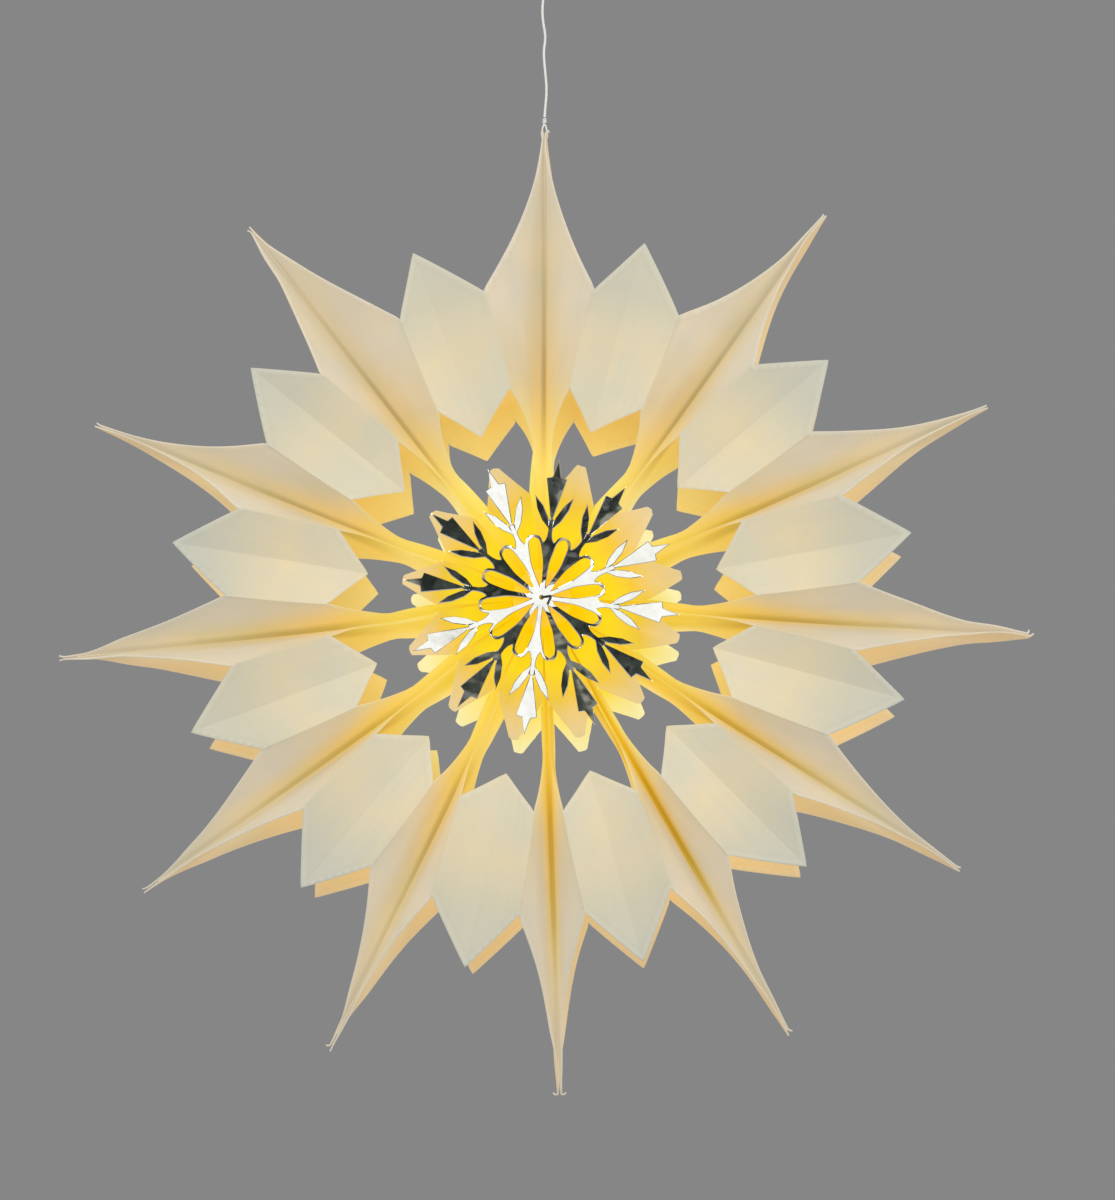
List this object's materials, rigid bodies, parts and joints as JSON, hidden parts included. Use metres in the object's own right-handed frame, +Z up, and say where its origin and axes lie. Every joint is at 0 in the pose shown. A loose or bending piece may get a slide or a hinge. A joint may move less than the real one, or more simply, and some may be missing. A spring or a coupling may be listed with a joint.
{
  "type": "paper star lantern",
  "caption": "Hanging star lantern of gusseted paper bags fanned round a lit hub, with a snowflake ornament at its centre, on a thread.",
  "frame": {"origin": "centre of the hook hole in the tab at the top of the thread", "axes": "+Z up along the thread, -Y towards the viewer along the star's axis, +X to the viewer's right"},
  "size_m": [0.5143, 0.147, 0.619],
  "materials": {
    "paper": "matt, pale cream, lit through from inside",
    "glue_tape": "matt glue tape",
    "frosted_plastic": "frosted, lit from inside",
    "white_plastic": "matt white",
    "mirror_metal": "mirror-polished sheet",
    "steel_wire": "bright wire",
    "grey_plastic": "matt grey",
    "cell_case": "plain shrink sleeve",
    "contact_metal": "nickel plated",
    "board": "white solder mask",
    "led": "warm white diode",
    "thread": "white twisted thread",
    "tab_metal": "satin"
  },
  "bodies": {
    "hanger": {"hanging_tab": "tab_metal"},
    "upper_tie": {"top_loop": "thread"},
    "line": {"hanging_thread": "thread"},
    "lower_tie": {"tie_loop": "thread"},
    "star": {"bag_01": "paper", "bag_02": "paper", "bag_03": "paper", "bag_04": "paper", "bag_05": "paper", "bag_06": "paper", "bag_07": "paper", "bag_08": "paper", "bag_09": "paper", "bag_10": "paper", "bag_11": "paper", "bag_12": "paper", "tape_strips": "glue_tape", "hub_sleeve": "frosted_plastic", "front_plug": "white_plastic", "ornament_pin": "steel_wire"},
    "snowflake": {"snowflake_ornament": "mirror_metal"},
    "light": {"light_tube": "frosted_plastic", "rear_cap": "white_plastic", "battery_holder": "grey_plastic", "battery_cells": "cell_case", "contact_plates": "contact_metal", "led_board": "board", "leds": "led"},
    "switch": {"switch_slider": "grey_plastic"}
  },
  "joints": [
    {"name": "swing_sideways", "type": "hinge", "parent": "hanger", "child": "upper_tie", "pos_m": [0, 0, -0.01], "axis": [0, 1, 0], "range_deg": [-40, 40]},
    {"name": "swing_forward", "type": "hinge", "parent": "upper_tie", "child": "line", "pos_m": [0, 0, -0.0188], "axis": [1, 0, 0], "range_deg": [-30, 30]},
    {"name": "star_spin", "type": "hinge", "parent": "line", "child": "lower_tie", "pos_m": [0, 0, -0.0926], "axis": [0, 0, 1], "continuous": true},
    {"name": "star_tilt", "type": "hinge", "parent": "lower_tie", "child": "star", "pos_m": [0, 0, -0.1022], "axis": [1, 0, 0], "range_deg": [-25, 25]},
    {"name": "snowflake_turn", "type": "hinge", "parent": "star", "child": "snowflake", "pos_m": [0, -0.0725, -0.3542], "axis": [0, 1, 0], "continuous": true},
    {"name": "light_slide", "type": "slide", "parent": "star", "child": "light", "axis": [0, 1, 0], "range_m": [0, 0.11]},
    {"name": "switch_slide", "type": "slide", "parent": "light", "child": "switch", "axis": [1, 0, 0], "range_m": [0, 0.004]}
  ]
}
